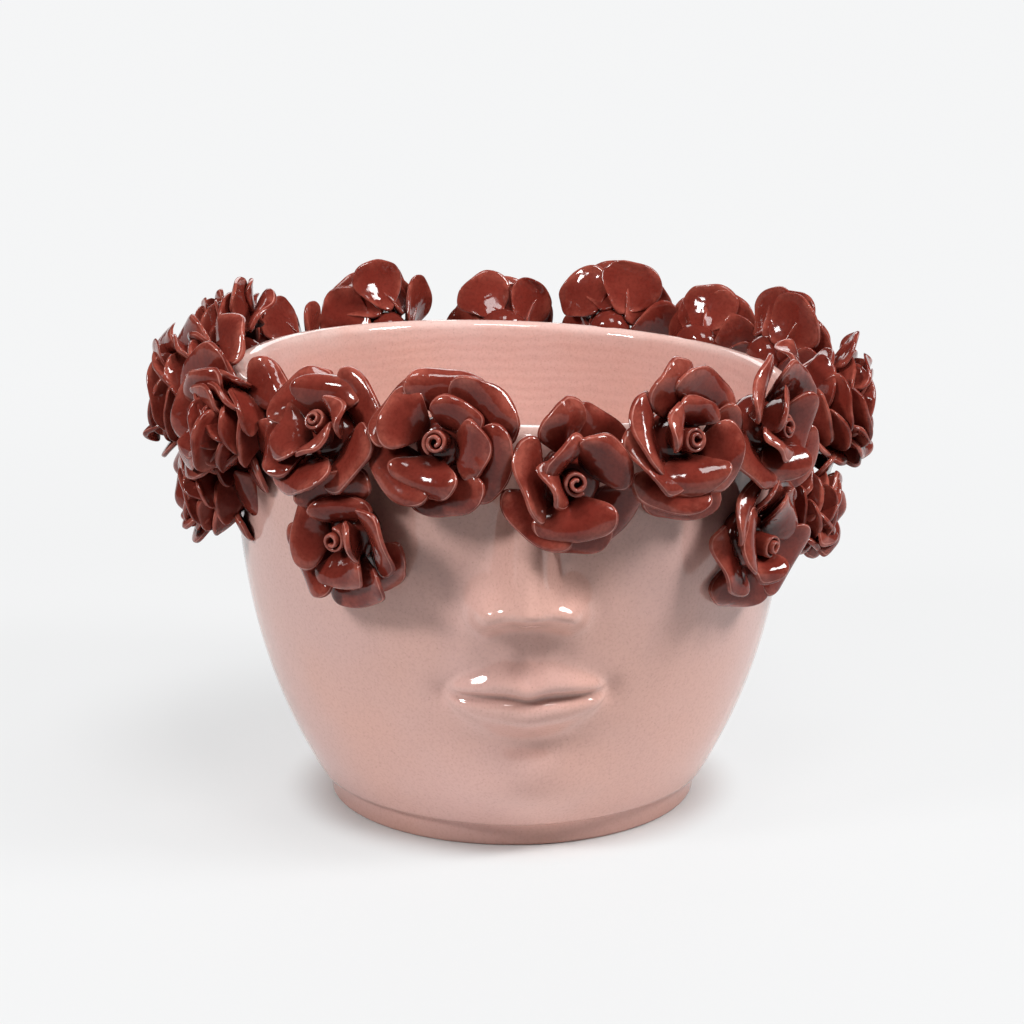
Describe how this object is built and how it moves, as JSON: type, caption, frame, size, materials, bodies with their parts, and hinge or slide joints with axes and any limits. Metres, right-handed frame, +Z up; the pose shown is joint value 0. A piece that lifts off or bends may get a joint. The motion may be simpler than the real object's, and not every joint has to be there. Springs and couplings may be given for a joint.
{
  "type": "cachepot",
  "caption": "Glazed earthenware cachepot shaped as the lower half of a calm face, open at the top to hold a plant in its nursery pot, with a crown of hand-built roses round the rim",
  "frame": {"origin": "centre of the flat underside of the foot, on the table", "axes": "+Z is up out of the mouth, the face looks along -Y, and +X is to the right of someone who faces it"},
  "size_m": [0.2402, 0.2272, 0.1696],
  "materials": {
    "pink_glaze": "gloss glaze, fine specks",
    "rose_glaze": "high gloss glaze that breaks paler on edges"
  },
  "bodies": {
    "root": {"foot": "pink_glaze", "bowl": "pink_glaze", "rose_01_petals": "rose_glaze", "rose_01_heart": "rose_glaze", "rose_02_petals": "rose_glaze", "rose_02_heart": "rose_glaze", "rose_03_petals": "rose_glaze", "rose_03_heart": "rose_glaze", "rose_04_petals": "rose_glaze", "rose_04_heart": "rose_glaze", "rose_05_petals": "rose_glaze", "rose_05_heart": "rose_glaze", "rose_06_petals": "rose_glaze", "rose_06_heart": "rose_glaze", "rose_07_petals": "rose_glaze", "rose_07_heart": "rose_glaze", "rose_08_petals": "rose_glaze", "rose_08_heart": "rose_glaze", "rose_09_petals": "rose_glaze", "rose_09_heart": "rose_glaze", "rose_10_petals": "rose_glaze", "rose_10_heart": "rose_glaze", "rose_11_petals": "rose_glaze", "rose_11_heart": "rose_glaze", "rose_12_petals": "rose_glaze", "rose_12_heart": "rose_glaze", "rose_13_petals": "rose_glaze", "rose_13_heart": "rose_glaze", "rose_14_petals": "rose_glaze", "rose_14_heart": "rose_glaze", "rose_15_petals": "rose_glaze", "rose_15_heart": "rose_glaze", "rose_16_petals": "rose_glaze", "rose_16_heart": "rose_glaze", "rose_17_petals": "rose_glaze", "rose_17_heart": "rose_glaze", "rose_18_petals": "rose_glaze", "rose_18_heart": "rose_glaze", "rose_19_petals": "rose_glaze", "rose_19_heart": "rose_glaze"}
  },
  "joints": []
}
